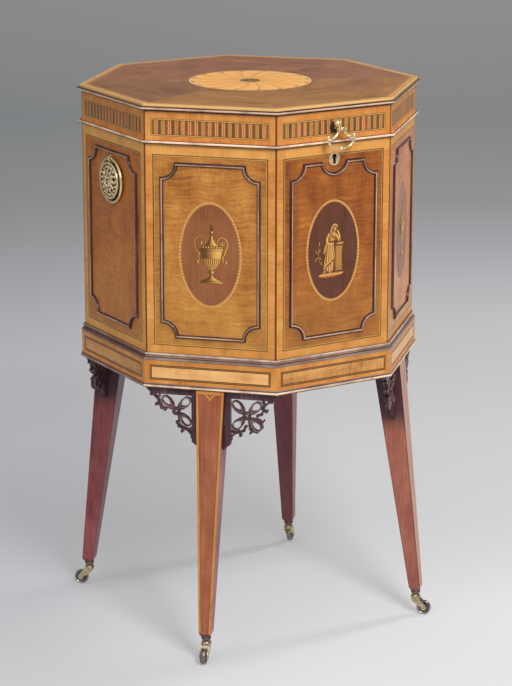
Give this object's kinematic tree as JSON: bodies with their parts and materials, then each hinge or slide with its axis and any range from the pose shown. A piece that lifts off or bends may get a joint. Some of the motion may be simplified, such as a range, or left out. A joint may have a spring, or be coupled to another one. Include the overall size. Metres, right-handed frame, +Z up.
{
  "type": "cellarette",
  "caption": "Octagonal veneered wine cellarette with a hinged lid over a lead-lined bottle lattice, side ring handles, and a stand with splayed legs, pierced brackets and castors.",
  "frame": {"origin": "on the floor, under the middle of the whole object's extent", "axes": "+Z up; -Y out of the side with the keyhole and the front handle; +X towards the right-hand ring"},
  "size_m": [0.4538, 0.4464, 0.7419],
  "materials": {
    "veneer": "polished satinwood and mahogany veneer with marquetry",
    "mahogany": "polished mahogany",
    "dark_wood": "polished purple-brown kingwood",
    "plain_wood": "plain pine, unpolished",
    "brass": "gilt brass, aged",
    "lead": "dull sheet lead",
    "steel": "dull steel"
  },
  "bodies": {
    "cabinet": {"carcass_side_front": "veneer", "carcass_side_front_right": "veneer", "carcass_side_right": "veneer", "carcass_side_back_right": "veneer", "carcass_side_back": "veneer", "carcass_side_back_left": "veneer", "carcass_side_left": "veneer", "carcass_side_front_left": "veneer", "panel_moulding_front": "dark_wood", "panel_moulding_front_right": "dark_wood", "panel_moulding_right": "dark_wood", "panel_moulding_back_right": "dark_wood", "panel_moulding_back": "dark_wood", "panel_moulding_back_left": "dark_wood", "panel_moulding_left": "dark_wood", "panel_moulding_front_left": "dark_wood", "carcass_floor": "plain_wood", "lead_liner": "lead", "bottle_slat_front": "plain_wood", "bottle_slat_back": "plain_wood", "bottle_slat_left": "plain_wood", "bottle_slat_right": "plain_wood", "lock_case": "steel", "escutcheon": "brass", "hinge_leaf_lower_left": "brass", "hinge_leaf_lower_right": "brass", "mask_plate_right": "brass", "mask_plate_left": "brass", "stand_frame": "veneer", "leg_front_right": "mahogany", "leg_back_right": "mahogany", "leg_back_left": "mahogany", "leg_front_left": "mahogany", "bracket_front_right_right": "dark_wood", "bracket_front_right_left": "dark_wood", "bracket_back_right_right": "dark_wood", "bracket_back_right_left": "dark_wood", "bracket_back_left_right": "dark_wood", "bracket_back_left_left": "dark_wood", "bracket_front_left_right": "dark_wood", "bracket_front_left_left": "dark_wood"},
    "lid": {"lid_rail": "veneer", "lid_board": "veneer", "lid_edge_moulding": "dark_wood", "lock_link_plate": "steel", "handle_rosette": "brass", "hinge_leaf_upper_left": "brass", "hinge_leaf_upper_right": "brass"},
    "front_bail": {"handle_bail": "brass"},
    "ring_right": {"mask_ring_right": "brass"},
    "ring_left": {"mask_ring_left": "brass"},
    "bolt": {"lock_bolt": "steel"},
    "castor_front_right": {"castor_horn_front_right": "brass"},
    "wheel_front_right": {"castor_wheel_front_right": "brass"},
    "castor_back_right": {"castor_horn_back_right": "brass"},
    "wheel_back_right": {"castor_wheel_back_right": "brass"},
    "castor_back_left": {"castor_horn_back_left": "brass"},
    "wheel_back_left": {"castor_wheel_back_left": "brass"},
    "castor_front_left": {"castor_horn_front_left": "brass"},
    "wheel_front_left": {"castor_wheel_front_left": "brass"}
  },
  "joints": [
    {"name": "lid_hinge", "type": "hinge", "parent": "cabinet", "child": "lid", "pos_m": [0, 0.22017, 0.69015], "axis": [-1, 0, 0], "range_deg": [0, 95]},
    {"name": "bail_swing", "type": "hinge", "parent": "lid", "child": "front_bail", "pos_m": [0, -0.22023, 0.7111], "axis": [-1, 0, 0], "range_deg": [-15, 150]},
    {"name": "ring_right_swing", "type": "hinge", "parent": "cabinet", "child": "ring_right", "pos_m": [0.2133, 0.00677, 0.656], "axis": [0, -1, 0], "range_deg": [0, 150]},
    {"name": "ring_left_swing", "type": "hinge", "parent": "cabinet", "child": "ring_left", "pos_m": [-0.2133, 0.00677, 0.656], "axis": [0, 1, 0], "range_deg": [0, 150]},
    {"name": "bolt_throw", "type": "slide", "parent": "cabinet", "child": "bolt", "axis": [-1, 0, 0], "range_m": [0, 0.007]},
    {"name": "castor_front_right_swivel", "type": "hinge", "parent": "cabinet", "child": "castor_front_right", "pos_m": [0.16872, -0.16195, 0.0364], "axis": [0, 0, 1], "continuous": true},
    {"name": "castor_front_right_roll", "type": "hinge", "parent": "castor_front_right", "child": "wheel_front_right", "pos_m": [0.1772, -0.17043, 0.01], "axis": [0.7071, 0.7071, 0], "continuous": true},
    {"name": "castor_back_right_swivel", "type": "hinge", "parent": "cabinet", "child": "castor_back_right", "pos_m": [0.16872, 0.17549, 0.0364], "axis": [0, 0, 1], "continuous": true},
    {"name": "castor_back_right_roll", "type": "hinge", "parent": "castor_back_right", "child": "wheel_back_right", "pos_m": [0.1772, 0.18397, 0.01], "axis": [-0.7071, 0.7071, 0], "continuous": true},
    {"name": "castor_back_left_swivel", "type": "hinge", "parent": "cabinet", "child": "castor_back_left", "pos_m": [-0.16872, 0.17549, 0.0364], "axis": [0, 0, 1], "continuous": true},
    {"name": "castor_back_left_roll", "type": "hinge", "parent": "castor_back_left", "child": "wheel_back_left", "pos_m": [-0.1772, 0.18397, 0.01], "axis": [-0.7071, -0.7071, 0], "continuous": true},
    {"name": "castor_front_left_swivel", "type": "hinge", "parent": "cabinet", "child": "castor_front_left", "pos_m": [-0.16872, -0.16195, 0.0364], "axis": [0, 0, 1], "continuous": true},
    {"name": "castor_front_left_roll", "type": "hinge", "parent": "castor_front_left", "child": "wheel_front_left", "pos_m": [-0.1772, -0.17043, 0.01], "axis": [0.7071, -0.7071, 0], "continuous": true}
  ]
}
